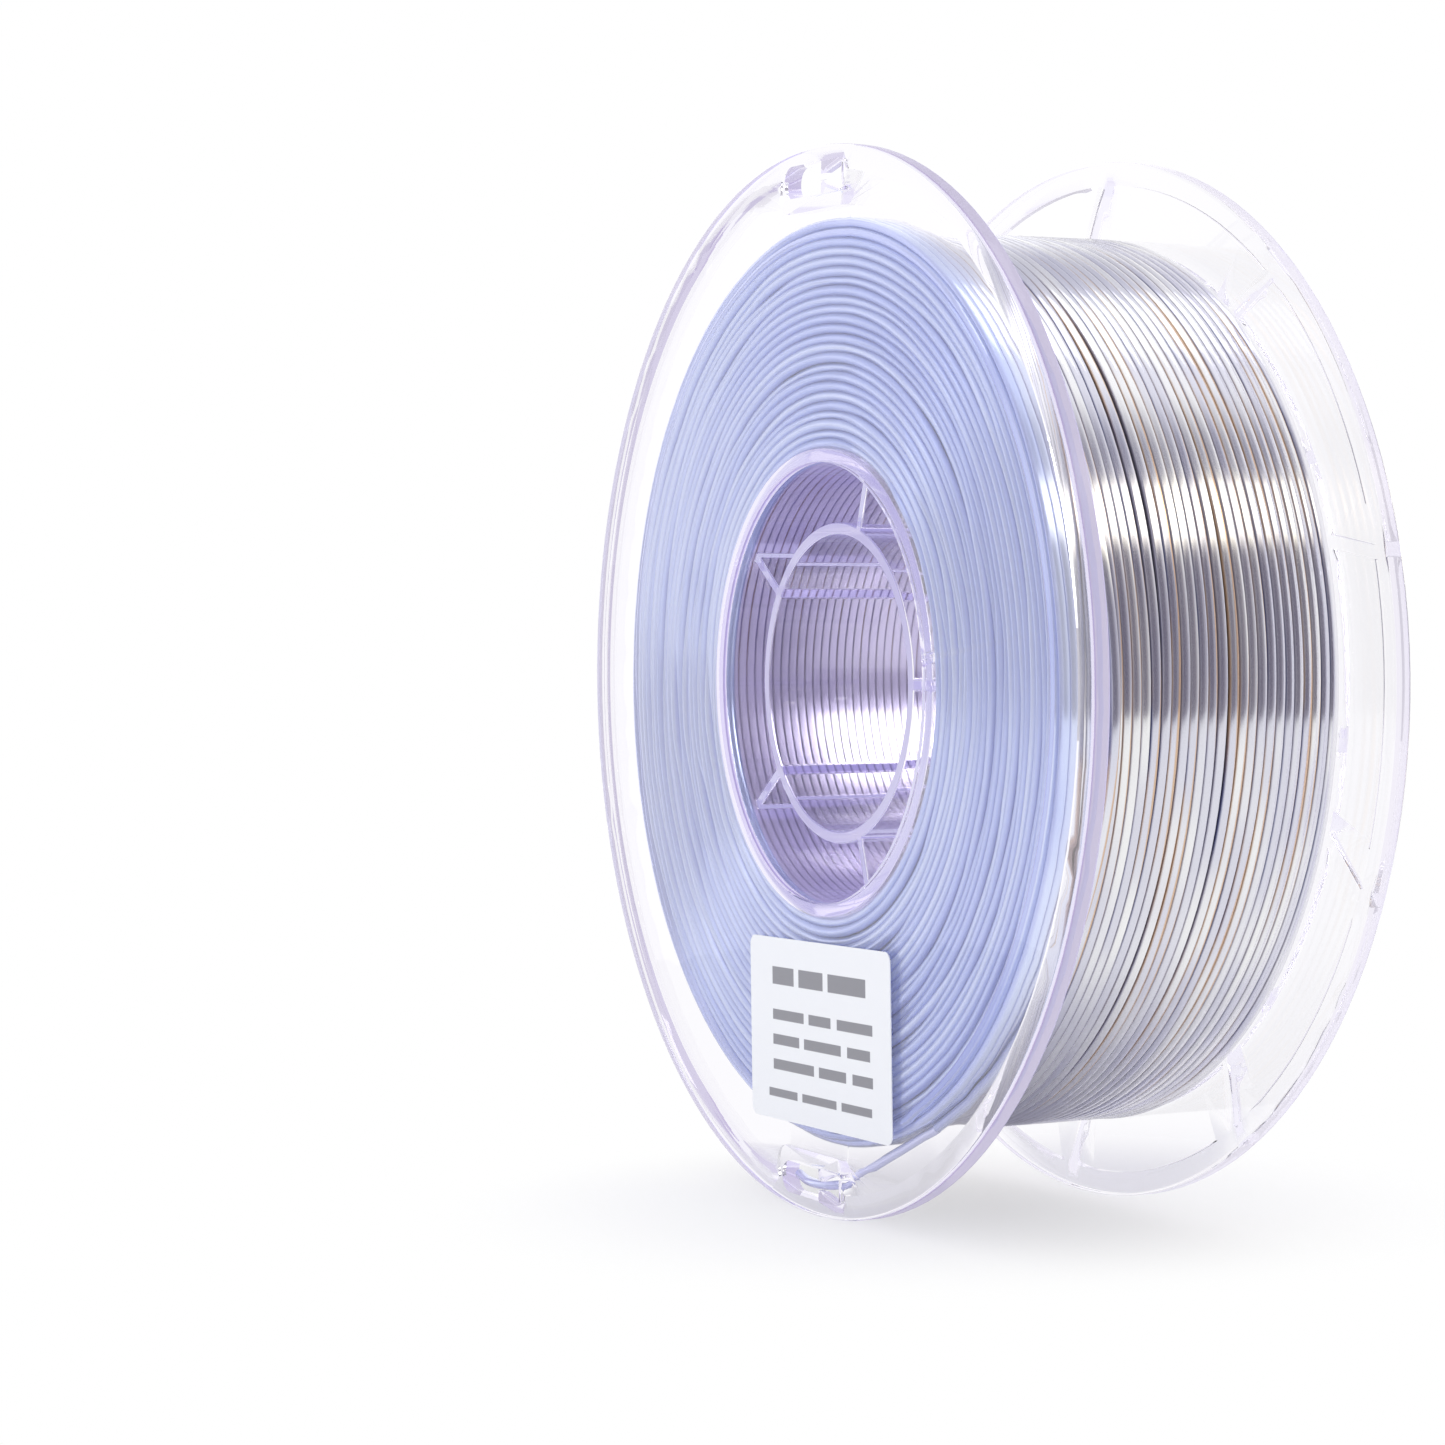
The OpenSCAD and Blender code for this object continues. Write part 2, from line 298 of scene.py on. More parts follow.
def add_floor():
    """A white floor that keeps the spool's shadow and fades into the white behind it. The spool
    mirrors it a little darker than it is seen."""
    mesh = bpy.data.meshes.new("floor")
    far, z = FLOOR_REACH, -FLANGE_R * MM
    corners = [(-far, -far, z), (far, -far, z), (far, far, z), (-far, far, z)]
    mesh.from_pydata(corners, [], [(0, 1, 2, 3)])
    floor = bpy.data.objects.new("floor", mesh)
    bpy.context.scene.collection.objects.link(floor)
    material, graph = new_material("white floor")
    glossy = graph.ray("Is Glossy Ray")
    seen = graph.ray("Is Camera Ray") + graph.ray("Is Transmission Ray")
    seen = graph.maths("MINIMUM", seen, 1.0)
    mirrored = graph.maths("MAXIMUM", seen, glossy)
    distance = graph.vector_maths("LENGTH", graph.object_point(), output=1)
    fade = graph.ramp(distance, *FLOOR_FADE)
    paint = graph.either(glossy, graph.diffuse(FLOOR_PAINT), graph.diffuse(FLOOR_MIRRORED))
    white = mirrored * fade + seen * (1 - fade) * FLOOR_WHITENESS
    finish_material(graph, graph.either(white, paint, graph.glow(WHITE)))
    mesh.materials.append(material)


# A ray that a round of the spool mirrors to the camera, moved this far along X, lies in the
# plane of the surface's normal, so its angle round the axis is the angle that the round faces
TOWARDS_CAMERA_X = 0.85

# The studio that the spool mirrors, by the angle that a surface faces, in degrees from straight
# up. A wall has its light at the front and at the rear, and fades from one to the other along Y
WALL_ALONG = (0.25, 0.95)
LOW_WALL = ((0.14, 0.12, 0.17, 1), (0.64, 0.62, 0.67, 1))
HIGH_WALL = ((0.31, 0.30, 0.38, 1), (0.92, 0.91, 0.96, 1))
HIGH_WALL_ABOVE = (72, 64)
CEILING = (1.1, 1.1, 1.12, 1)
CEILING_ABOVE = (61, 50)
OVERHEAD = (1.3, 1.3, 1.34, 1)
OVERHEAD_ABOVE = (20, 6)
LINTEL = (0.12, 0.10, 0.18, 1)
LINTEL_BELOW = (47, 57)
LINTEL_SHARE = 0.75


class Panel(NamedTuple):
    """A part of the studio: the angles where it begins, is full, starts to end and ends, the
    stretch of Y over which it fades in, and its light."""

    angles: tuple
    along: tuple
    light: tuple


# No direction's Y is as low as this stretch, so a panel with it has its light all along
WHOLE_LENGTH = (-2, -1)
RECESS = Panel((12, 24, 26, 43), WHOLE_LENGTH, (0.66, 0.66, 0.74, 1))
WARM_PANEL = Panel((61, 67.5, 70.5, 80), (0.5, 0.9), (1.2, 1.15, 1.05, 1))
STRIP_LIGHT = Panel((63.8, 67.8, 69.4, 74.6), (-0.5, -0.1), (3.2, 3.0, 2.5, 1))
DOORWAY = Panel((58, 67, 79, 84), (0.2, 0.5), (8.0, 8.0, 7.6, 1))

# The turns on the drum are seen through more faces of clear plastic than this, and this share
# of what they mirror is the studio
DRUM_FACES = 3.5
DRUM_MIRRORED = 0.8


def add_world():
    """White where it is seen, and a plain studio for what mirrors it: a bright ceiling with a
    recess, a dim wall that is brighter to the rear and one long strip light along the axis. The
    turns on the drum mirror a bright doorway under a dark lintel there."""
    world = bpy.data.worlds.new("studio")
    world.use_nodes = True
    world.node_tree.nodes.clear()
    graph = Graph(world.node_tree)
    x, y, z = graph.split(graph.wire("ShaderNodeTexCoord", output="Generated"))
    facing = graph.maths("ARCTAN2", x + TOWARDS_CAMERA_X, z) * (180 / pi)

    def with_panel(light, panel):
        share = graph.band(facing, *panel.angles) * graph.ramp(y, *panel.along)
        return graph.blend(share, light, panel.light)

    to_rear = graph.ramp(y, *WALL_ALONG)
    low_wall = graph.blend(to_rear, *LOW_WALL)
    high_wall = graph.blend(to_rear, *HIGH_WALL)
    room = graph.blend(graph.ramp(facing, *HIGH_WALL_ABOVE), low_wall, high_wall)
    room = graph.blend(graph.ramp(facing, *CEILING_ABOVE), room, CEILING)
    room = graph.blend(graph.ramp(facing, *OVERHEAD_ABOVE), room, OVERHEAD)
    for panel in (RECESS, WARM_PANEL, STRIP_LIGHT):
        room = with_panel(room, panel)
    inside = graph.blend(graph.ramp(facing, *LINTEL_BELOW) * LINTEL_SHARE, room, LINTEL)
    inside = with_panel(inside, DOORWAY)
    through_walls = graph.maths("GREATER_THAN", graph.ray("Transmission Depth"), DRUM_FACES)
    turned = graph.maths("GREATER_THAN", graph.ray("Glossy Depth"), 0.5)
    mirrored = graph.ray("Is Glossy Ray") * (1 - graph.ray("Is Transmission Ray"))
    light = graph.blend(through_walls * turned * DRUM_MIRRORED, WHITE, inside)
    light = graph.blend(mirrored, light, room)
    sky = graph.wire("ShaderNodeBackground", None, {"Color": light, "Strength": 1.0})
    graph.node("ShaderNodeOutputWorld", None, {"Surface": sky})
    bpy.context.scene.world = world


SOFTBOX_AT = (-0.02, 0.1, 1.6)
SOFTBOX_SIZE = (0.55, 1.6)
SOFTBOX_WATTS = 4


def add_softbox():
    """One broad lamp overhead, facing down, for the shadow on the floor."""
    data = bpy.data.lights.new("overhead softbox", "AREA")
    data.shape = "RECTANGLE"
    data.size, data.size_y = SOFTBOX_SIZE
    data.energy = SOFTBOX_WATTS
    lamp = bpy.data.objects.new("overhead softbox", data)
    lamp.location = SOFTBOX_AT
    bpy.context.scene.collection.objects.link(lamp)


add_camera()
add_floor()
add_world()
add_softbox()
bpy.context.scene.view_settings.view_transform = "Standard"

# ---------------------------------------------------------------------------
# Clear plastic
# ---------------------------------------------------------------------------

CLEAR = (0.99, 0.985, 1.0, 1)
THICK_TINT = (0.80, 0.75, 0.97, 1)
THIN_FILM = (0.985, 0.98, 0.99, 1)
WEB_END_SHARE = 0.25

# A ray that has been mirrored more often than this is caught in a thick rim
CAUGHT_AFTER = 2.5

# Where the looks of the plastic change, in millimetres: distances from the axis, and from the
# spool's middle along Y
IN_TUBE_END = (TUBE_R + 0.6, TUBE_R)
INSIDE_DRUM = (DRUM_INNER_R - 0.3, DRUM_INNER_R - 0.7)
IN_OUTER_ROUND = (FLANGE_R - 1.5, FLANGE_R - 0.5)
BESIDE_FACE = (FACE_Y - 0.9, FACE_Y - 0.3)

# How far a surface's normal points along Y, on a flat end and on a round that is level with Y
FLAT_END = (0.8, 0.95)
LEVEL_ROUND = (0.5, 0.2)

# Painted shade as a dark arc on the rear rim's inner step: its colour, its strength, its
# distances from the axis and where it fades in along Y, X and Z
STEP_SHADE = colour(118, 118, 134)
STEP_SHADE_SHARE = 0.7
STEP_SHADE_ACROSS = (RIM_STEP_R - 0.6, RIM_STEP_R - 0.3, RIM_STEP_R + 0.2, RIM_STEP_R + 0.5)
STEP_SHADE_Y = (INNER_Y + 1, INNER_Y + 2)
STEP_SHADE_X = (80, 88)
STEP_SHADE_Z = (-15, 0)


def hub_ends(graph, radius, flatness):
    """1 on the flat ends of the tube and a smaller share on those of its webs."""
    tube = graph.ramp(radius, *IN_TUBE_END)
    ends = graph.ramp(radius, *INSIDE_DRUM) * graph.ramp(flatness, *FLAT_END)
    return ends * (tube * (1 - WEB_END_SHARE) + WEB_END_SHARE)


def shaded_step(graph, x, y, z, radius):
    """How dark the painted shade is on the arc that the inner step of the rear rim shows on one
    side.
    """
    step = graph.band(radius, *STEP_SHADE_ACROSS) * graph.ramp(y, *STEP_SHADE_Y)
    arc = step * graph.ramp(x, *STEP_SHADE_X) * graph.ramp(z, *STEP_SHADE_Z)
    return arc * STEP_SHADE_SHARE


def clear_plastic(name, density, round_shade_tint, filled_share, filled_light, caught_light):
    """Polished clear moulding that turns lilac where it is thick, and greyer through the outer
    round of its rim by painted shade. Lamps reach through it, and a ray caught in a thick rim
    comes out as a painted lilac glow that fills it, lighter facing up than facing down. That
    painted glow also shows in the rim's outer round and in the flat ends of the tube and its
    webs, with a colour of its own beside the spool's faces. The rear rim's inner step has
    painted shade in a dark arc."""
    material, graph = new_material(name)
    x, y, z, radius = graph.spool_place()
    _, normal_y, normal_z = graph.split(graph.normal())
    flatness = graph.maths("ABSOLUTE", normal_y)
    level = graph.ramp(flatness, *LEVEL_ROUND)
    outer_round = graph.ramp(radius, *IN_OUTER_ROUND) * level
    # The outer round's greyer tint is painted shade
    moulding = graph.principled(
        {
            "Base Color": graph.blend(outer_round, CLEAR, round_shade_tint),
            "Roughness": 0.02,
            "IOR": 1.49,
            "Transmission Weight": 1.0,
        }
    )
    # Painted glow in the rim's outer round and the hub's flat ends, standing in for light caught
    # in the plastic
    beside_face = graph.ramp(graph.maths("ABSOLUTE", y), *BESIDE_FACE)
    filled = graph.either(beside_face, *(graph.glow(tint) for tint in filled_light))
    filling = (outer_round + hub_ends(graph, radius, flatness)) * filled_share
    moulding = graph.either(filling, moulding, filled)
    # Painted shade: a dark glow on one arc of the rear rim's inner step
    shade = shaded_step(graph, x, y, z, radius) * level
    moulding = graph.either(shade, moulding, graph.glow(STEP_SHADE))
    # Painted glow for a ray caught in a thick rim, lighter facing up than facing down
    upwards = graph.ramp(normal_z, -0.8, 0.6)
    light = graph.either(upwards, *(graph.glow(tint) for tint in caught_light))
    caught = graph.maths("GREATER_THAN", graph.ray("Glossy Depth"), CAUGHT_AFTER)
    surface = graph.either(caught, moulding, light)
    film = graph.wire("ShaderNodeBsdfTransparent", None, {"Color": THIN_FILM})
    for question in ("Is Diffuse Ray", "Is Shadow Ray"):
        surface = graph.either(graph.ray(question), surface, film)
    thick = {"Color": THICK_TINT, "Density": density}
    tint = graph.wire("ShaderNodeVolumeAbsorption", None, thick)
    finish_material(graph, surface, Volume=tint)
    return material


FRONT_CLEAR = clear_plastic(
    "clear plastic, front half",
    density=30.0,
    round_shade_tint=(0.54, 0.52, 0.60, 1),
    filled_share=0.7,
    filled_light=(colour(204, 197, 220), colour(172, 152, 200)),
    caught_light=((0.86, 0.83, 0.97, 1), (0.97, 0.96, 1.0, 1)),
)
REAR_CLEAR = clear_plastic(
    "clear plastic, rear half",
    density=14.0,
    round_shade_tint=(0.92, 0.90, 0.96, 1),
    filled_share=0.6,
    filled_light=(colour(240, 236, 248), colour(226, 220, 240)),
    caught_light=((0.92, 0.91, 0.98, 1), (0.98, 0.97, 1.0, 1)),
)
HUB_CLEAR = clear_plastic(
    "clear plastic, hub",
    density=20.0,
    round_shade_tint=(0.92, 0.90, 0.96, 1),
    filled_share=0.6,
    filled_light=(colour(206, 201, 232), colour(206, 201, 232)),
    caught_light=((0.42, 0.39, 0.70, 1), (0.64, 0.63, 0.85, 1)),
)

# ---------------------------------------------------------------------------
# Filament
# ---------------------------------------------------------------------------

# Where the winding's looks change, in millimetres: distances from the axis, and places along Y
# or, for the lower part of the drum's turns, where less crevice shade is painted, along Z
OUTER_LAYER_ABOVE = (82.6, 83.2)
DRUM_LAYER_BELOW = (47.2, 46.6)
DRUM_LAYER_BEHIND = (-26.2, -25.6)
FRONT_BLUE_BEFORE = (-18.5, -27.5)
REAR_PLAIN_BEHIND = (25.8, 26.6)
DRUM_LESS_SHADE_BELOW = (16.0, -4.0)


class TwoTone(NamedTuple):
    """Two colours, and the values of noise between which the first turns into the second."""

    first: tuple
    second: tuple
    between: tuple

    def paint(self, graph, noise):
        return graph.blend(graph.ramp(noise, *self.between), self.first, self.second)


SILVER = TwoTone(colour(239, 239, 240), colour(216, 216, 228), (0.36, 0.6))
# Painted blue reflection of the clear front flange on the silver turns beside it
FRONT_BLUE_REFLECTION = TwoTone(colour(190, 204, 247), colour(212, 224, 252), (0.36, 0.64))
REAR_SILVER = colour(236, 236, 240)
# Painted blue reflection at the free end, and painted lilac reflection of the clear hub on the
# drum's turns
LOOSE_END_BLUE_REFLECTION = colour(216, 220, 252)
DRUM_LILAC_REFLECTION = colour(234, 227, 255)

# Copper lies on a turn's side towards the rear, and the twist of the filament moves its edge
COPPER = colour(212, 184, 160)
COPPER_SIDE = (0.5, 0.85)
COPPER_MOVES = 3.0

# Painted shade in the crevices between turns, brown in places where a turn's copper side shows,
# and darkest where noise is high
SILVER_CREVICE_SHADE = TwoTone(colour(148, 145, 164), colour(184, 152, 124), (0.5, 0.62))
FRONT_CREVICE_SHADE = TwoTone(colour(168, 180, 228), colour(188, 199, 240), (0.35, 0.6))
DRUM_CREVICE_SHADE = TwoTone(colour(184, 170, 230), colour(204, 170, 190), (0.48, 0.6))
DARKEST_CREVICE_SHADE = colour(96, 100, 140)
DARK_LINE_ABOVE = (0.55, 0.64)

# A turn's two sides, by how far its normal points along the axis
REAR_FLANK = (0.35, 0.85)
FRONT_FLANK = (-0.55, -0.95)

# Shares of the light that is mirrored as metal mirrors it, and what a turn's sides take off
SILVER_METAL = 0.88
FRONT_METAL = 0.62
FLANK_LOSS = 0.4


def silk_zones(graph):
    """Where a point lies on the winding and round its turn, as shares from 0 to 1, beside the
    section that the winding's mesh carries. The free end carries none, so it reads 0 there."""
    _, y, z, radius = graph.spool_place()
    section = graph.wire("ShaderNodeAttribute", {"attribute_name": "section"}, output="Vector")
    rise, side, turn = graph.split(section)
    outer = graph.ramp(radius, *OUTER_LAYER_ABOVE)
    drum = graph.ramp(radius, *DRUM_LAYER_BELOW) * graph.ramp(y, *DRUM_LAYER_BEHIND)
    beside = 1 - outer - drum
    crest = rise * (outer - drum) + graph.maths("ABSOLUTE", side) * beside
    return SimpleNamespace(
        rise=rise,
        side=side,
        turn=turn,
        drum=drum,
        beside=beside,
        front=graph.ramp(y, *FRONT_BLUE_BEFORE),
        rear=graph.ramp(y, *REAR_PLAIN_BEHIND),
        loose=graph.ramp(rise * rise + side * side, 0.5, 0.1),
        # Where shade is painted in the crevices: a turn's flanks, away from its crest
        shaded_crevice=graph.ramp(crest, 0.76, 0.42) * graph.ramp(turn, 0.0, 0.02),
        # Less painted crevice shade on the lower part of the drum's turns
        less_crevice_shade=drum * graph.ramp(z, *DRUM_LESS_SHADE_BELOW) * 0.85,
    )


def silk_paint(graph, at):
    """Silver with copper on a turn's side towards the rear, a painted blue reflection beside the
    front flange and a painted lilac reflection on the drum, with painted shade in the crevices
    between the turns."""
    twist = graph.noise(graph.object_point(), 5.0, 1.0, w=at.turn * 1.7)
    mood = graph.noise(graph.object_point(), 7.0, 1.0, w=at.turn * 2.3 + 9.0)
    copper = graph.ramp(at.side + (twist - 0.5) * COPPER_MOVES, *COPPER_SIDE) * (1 - at.rear)
    paint = graph.blend(copper, SILVER.paint(graph, mood), COPPER)
    paint = graph.blend(at.front, paint, FRONT_BLUE_REFLECTION.paint(graph, mood))
    paint = graph.blend(at.rear, paint, REAR_SILVER)
    paint = graph.blend(at.loose, paint, LOOSE_END_BLUE_REFLECTION)
    paint = graph.blend(at.drum, paint, DRUM_LILAC_REFLECTION)
    # Painted shade for the crevices between the turns
    line = SILVER_CREVICE_SHADE.paint(graph, twist)
    line = graph.blend(graph.ramp(mood, *DARK_LINE_ABOVE), line, DARKEST_CREVICE_SHADE)
    line = graph.blend(at.front, line, FRONT_CREVICE_SHADE.paint(graph, mood))
    line = graph.blend(at.drum, line, DRUM_CREVICE_SHADE.paint(graph, twist))
    return graph.blend(at.shaded_crevice * (1 - at.rear) * (1 - at.less_crevice_shade), paint, line)


def silk_metallic(graph, at):
    """How much a point shines like metal: less on a turn's sides and beside the flanges."""
    flank = graph.ramp(at.side, *REAR_FLANK) + graph.ramp(at.side, *FRONT_FLANK)
    metallic = SILVER_METAL - flank * (1 - at.drum * 0.8) * FLANK_LOSS
    metallic = metallic * (1 - at.front) + at.front * FRONT_METAL
    return metallic * (1 - at.rear * 0.8) * (1 - at.drum * 0.2) * (1 - at.loose * 0.4)


def silk_normal(graph, at):
    """The surface's normal, flattened along the spool's axis so that the shine spreads across
    each turn, with fine streaks along the filament."""
    along_axis = (0.42 + at.shaded_crevice * 0.35) * (1 - at.drum * 0.95)
    flatter = graph.vector_maths("MULTIPLY", graph.normal(), graph.vector(1.0, along_axis, 1.0))
    lengthwise = graph.vector(at.rise * 14.0, at.side * 14.0, at.turn * 1.5)
    streak = (graph.noise(lengthwise, 1.0) - 0.5) * (0.35 - at.drum * 0.3)
    streaked = graph.vector_maths("ADD", flatter, graph.vector(0.0, streak, 0.0))
    return graph.vector_maths("NORMALIZE", streaked)


def silk_filament():
    """Two-colour silk filament."""
    material, graph = new_material("silk filament")
    at = silk_zones(graph)
    cloudy = graph.noise(graph.object_point(), 60.0, 3.0)
    surface = graph.principled(
        {
            "Base Color": silk_paint(graph, at),
            "Metallic": silk_metallic(graph, at),
            "Roughness": 0.10 + cloudy * 0.05 + at.beside * 0.18 + at.drum * 0.16,
            "IOR": 1.5,
            "Normal": silk_normal(graph, at),
        }
    )
    finish_material(graph, surface)
    return material


def shaded_layers():
    """The layers that show as a dark line where the turns over them part."""
    material, graph = new_material("silk filament in shade")
    cloudy = graph.noise(graph.object_point(), 60.0, 3.0)
    paint = graph.blend(cloudy, colour(96, 98, 132), colour(124, 118, 140))
    rough = 0.3 + cloudy * 0.1
    surface = graph.principled({"Base Color": paint, "Metallic": 0.3, "Roughness": rough})
    finish_material(graph, surface)
    return material


SILK = silk_filament()
SHADED_SILK = shaded_layers()

# ---------------------------------------------------------------------------
# Label
# ---------------------------------------------------------------------------

# Plain bars where a label has words, in millimetres: a line's z and height, and each of its
# bars' middle x and width
LABEL_LINES = [
    (-56.0, 3.4, [(-14.5, 9.0), (-3.0, 10.0), (11.5, 15.0)]),
    (-63.5, 2.0, [(-12.5, 13.0), (0.5, 9.0), (14.5, 14.0)]),
    (-68.3, 2.0, [(-13.5, 11.0), (1.5, 15.0), (16.0, 9.0)]),
    (-73.1, 2.0, [(-10.5, 17.0), (5.5, 11.0), (17.5, 8.0)]),
    (-78.6, 1.6, [(-15.0, 12.0), (0.0, 14.0), (15.0, 12.0)]),
]
PAPER = colour(243, 245, 250)
INK = colour(138, 138, 146)
INK_BLUR = 0.05


def label_paper():
    """White coated paper with plain grey bars where a label has its lines of print."""
    material, graph = new_material("label paper")
    x, _, z, _ = graph.spool_place()

    def stripe(place, centre, width):
        away = graph.maths("ABSOLUTE", place - centre)
        return graph.ramp(away, width / 2 + INK_BLUR, width / 2 - INK_BLUR)

    ink = 0.0
    for line_z, height, bars in LABEL_LINES:
        line = stripe(z, line_z, height)
        for bar_x, width in bars:
            ink = graph.maths("MAXIMUM", ink, stripe(x, bar_x, width) * line)
    paint = graph.blend(ink, PAPER, INK)
    surface = graph.principled({"Base Color": paint, "Roughness": 0.42 - ink * 0.1})
    finish_material(graph, surface)
    return material


LABEL_PAPER = label_paper()

# ---------------------------------------------------------------------------
# Making pieces
# ---------------------------------------------------------------------------


def add_piece(name, data, material, slot, *nodes):
    """A finished piece on the spool's one body, standing for CAD nodes."""
    piece = bpy.data.objects.new(name, data)
    bpy.context.scene.collection.objects.link(piece)
    data.materials.clear()
    data.materials.append(material)
    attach(piece, "root")
    if nodes:
        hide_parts(*nodes)
    return piece


def finish_mesh(shape, name):
    """A mesh from bmesh data that is used no more."""
    mesh = bpy.data.meshes.new(name)
    shape.to_mesh(mesh)
    shape.free()
    return mesh


SHARP_ANGLE = 30
CAD_SHARP_ANGLE = 25
CAD_POINTS_MERGE = 0.002


def smooth(mesh, sharp_angle=SHARP_ANGLE):
    mesh.shade_smooth()
    mesh.set_sharp_from_angle(angle=radians(sharp_angle))


def add_clear_copy(name, node, material):
    """A CAD node's own shape, with its loose triangles merged so that curves shade as curves."""
    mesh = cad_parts[node].data.copy()
    shape = bmesh.new()
    shape.from_mesh(mesh)
    bmesh.ops.remove_doubles(shape, verts=shape.verts, dist=CAD_POINTS_MERGE * MM)
    shape.to_mesh(mesh)
    shape.free()
    smooth(mesh, CAD_SHARP_ANGLE)
    piece = add_piece(name, mesh, material, "clear_plastic", node)
    flat = piece.modifiers.new("flat faces stay flat", "WEIGHTED_NORMAL")
    flat.mode = "FACE_AREA"
    flat.weight = 100
    flat.keep_sharp = True


# ---------------------------------------------------------------------------
# The winding, by Geometry Nodes
# ---------------------------------------------------------------------------


def new_geometry_tree(name, measures, counts=()):
    """A tree with inputs of its own beside those that every tube of filament has."""
    kinds = dict.fromkeys(["Filament radius", "Wander", "Seed", *measures], "NodeSocketFloat")
    kinds |= dict.fromkeys(["Rings per turn", "Sides", *counts], "NodeSocketInt")
    kinds["Finish"] = "NodeSocketMaterial"
    tree = bpy.data.node_groups.new(name, "GeometryNodeTree")
    tree.interface.new_socket("Geometry", in_out="OUTPUT", socket_type="NodeSocketGeometry")
    for label, kind in kinds.items():
        tree.interface.new_socket(label, in_out="INPUT", socket_type=kind)
    graph = Graph(tree)
    entry = graph.node("NodeGroupInput")
    given = {label: Wire(graph, entry.outputs[label]) for label in kinds}
    return tree, graph, given


def finish_tube(graph, curve, given):
    """Sweeps the filament's round section along a curve and ends the tree. Each point keeps, as
    its section, how far its normal points from the axis and along it, and its turn."""
    radial = graph.attribute("radial", "FLOAT_VECTOR")
    faced = graph.wire(
        "GeometryNodeSetCurveNormal", {"mode": "FREE"}, {"Curve": curve, "Normal": radial}
    )
    circle = {"Resolution": given["Sides"], "Radius": given["Filament radius"]}
    profile = graph.wire("GeometryNodeCurvePrimitiveCircle", None, circle)
    sweep = {"Curve": faced, "Profile Curve": profile, "Fill Caps": True}
    tube = graph.wire("GeometryNodeCurveToMesh", None, sweep)
    normal = graph.wire("GeometryNodeInputNormal")
    rise = graph.vector_maths("DOT_PRODUCT", normal, radial, output=1)
    section = graph.vector(rise, graph.split(normal)[1], graph.attribute("turn"))
    marked = graph.store(tube, "section", section, "FLOAT_VECTOR")
    shading = {"Geometry": marked, "Shade Smooth": True}
    rounded = graph.wire("GeometryNodeSetShadeSmooth", None, shading)
    whole = graph.wire("GeometryNodeRealizeInstances", None, {"Geometry": rounded})
    finish = {"Geometry": whole, "Material": given["Finish"]}
    finished = graph.wire("GeometryNodeSetMaterial", None, finish)
    graph.node("NodeGroupOutput", None, {0: finished})


# Share of a turn that stays beside the front flange before the winding turns back, share of a
# turn in which its end climbs over its neighbours and crosses them, and when it crosses
TURN_BACK = 0.2
CROSS_TURNS = 0.3
CROSS_FROM, CROSS_TO = 0.4, 1.2

# Share of a turn at the end that the wandering leaves alone
HELD_TURNS = 0.4

# The angle at which the layers stand highest beside the rear flange
FULLEST_AT = 80.0


class Parting(NamedTuple):
    """A place where neighbouring turns of the outer layer part a little, and how sharply the
    gap fades round the winding."""

    y: float
    angle: float
    width: float
    fade: float


PARTINGS = [
    Parting(y=-8.0, angle=62.0, width=1.3, fade=6.0),
    Parting(y=4.5, angle=92.0, width=0.9, fade=6.0),
    Parting(y=-4.0, angle=130.0, width=0.8, fade=10.0),
    Parting(y=13.0, angle=20.0, width=0.5, fade=6.0),
]

# How far from a parting its push takes to build up
PARTING_EDGE = 1.4


def even_helix(graph, given):
    """What each point of a layer's line knows of its helix before that wanders: its turn, the
    turns that are left, its angle, its place along the axis and how far it has climbed on the
    layer below, from 0 to 1."""
    turns = given["Turns"]
    turn = graph.wire("GeometryNodeInputIndex") / given["Rings per turn"]

    def place_after(gone):
        """How far along the axis the helix is after some turns, there and back."""
        there = graph.maths("MINIMUM", gone, turns)
        back = graph.maths("MAXIMUM", gone - turns - TURN_BACK, 0.0)
        return given["First turn at"] - given["Pitch"] * (there - back)

    y = place_after(turn)
    away = (y - place_after(turn - 1)) / given["Layer step"]
    climbed = graph.maths("SQRT", graph.maths("MAXIMUM", 1 - away * away, 0.0))
    past = turn - turns
    on_top = graph.maths("GREATER_THAN", past, (1 + TURN_BACK) / 2)
    climbed = graph.maths("MAXIMUM", climbed, on_top) * graph.maths("GREATER_THAN", past, 0.0)
    return SimpleNamespace(
        turn=turn,
        left=turns + given["Last turns"] - turn,
        angle=given["First angle"] + turn * (2 * pi),
        y=y,
        climbed=climbed,
    )


